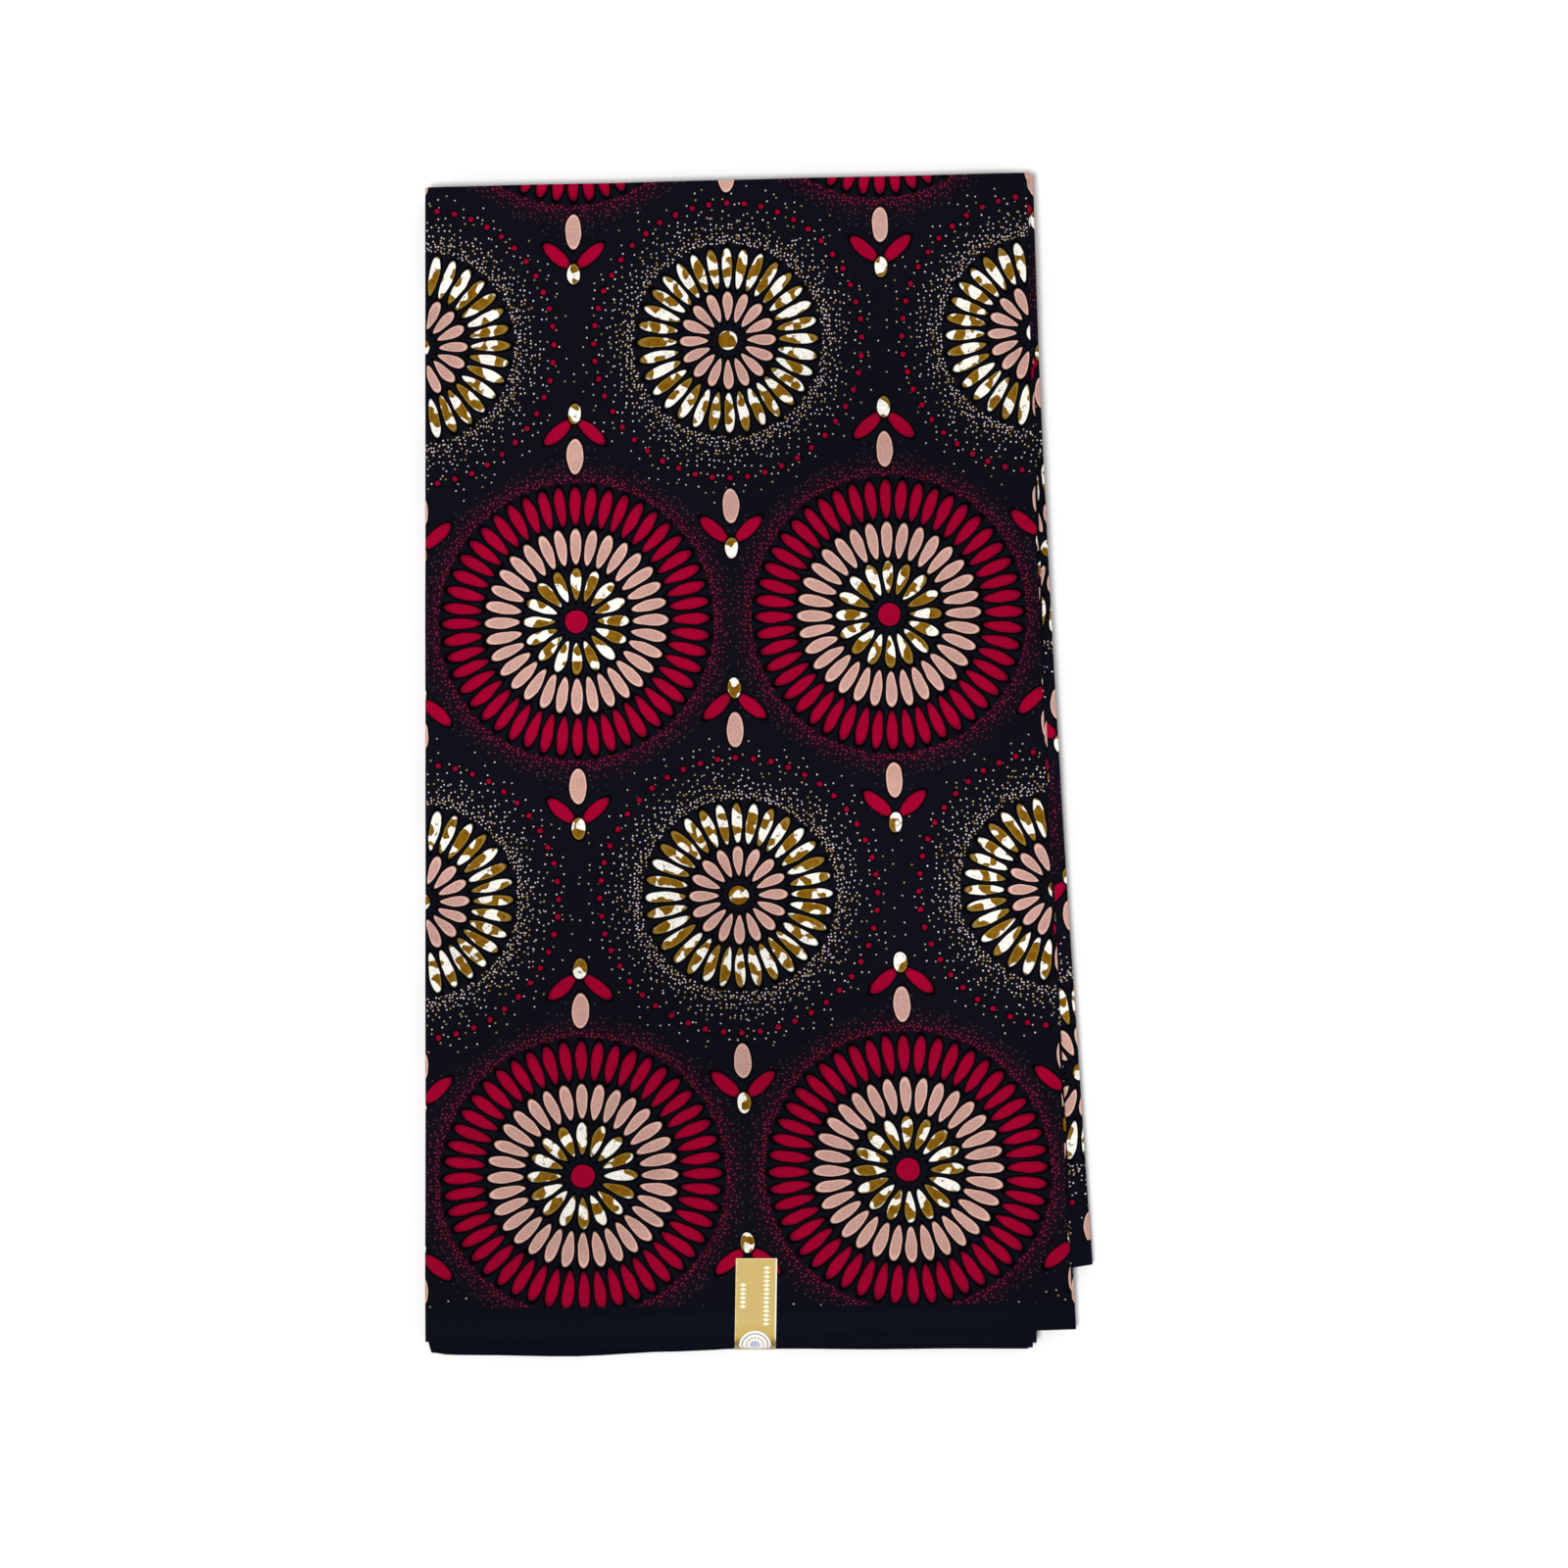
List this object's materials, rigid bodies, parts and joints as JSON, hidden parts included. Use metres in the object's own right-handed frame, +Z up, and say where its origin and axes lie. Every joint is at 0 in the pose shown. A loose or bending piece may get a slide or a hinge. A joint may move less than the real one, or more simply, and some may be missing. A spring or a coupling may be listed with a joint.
{
  "type": "folded length of ankara wax-print cotton",
  "caption": "Retail-folded length of printed cotton lying flat: doubled panels folded to and fro, the upper folds fanned out to the side, with a paper band round the front edge",
  "frame": {"origin": "under the middle of the pack, on the surface it lies on", "axes": "+Z up out of the table; +Y from the selvedges at the front towards the centre fold at the back, along the pack; +X to the right, the side to which the second fold fans out"},
  "size_m": [0.341, 0.6035, 0.019],
  "materials": {
    "printed_cotton": "resin-dyed wax-print cotton, close plain weave with a faint waxy sheen, near-black ground with crimson, dusty pink, ochre and white motifs",
    "band_paper": "gold-printed coated paper with pale cut edges and a white round seal"
  },
  "bodies": {
    "root": {"top_panel": "printed_cotton", "fanned_fold": "printed_cotton", "folded_core": "printed_cotton", "base_fold": "printed_cotton", "label_band": "band_paper"}
  },
  "joints": []
}
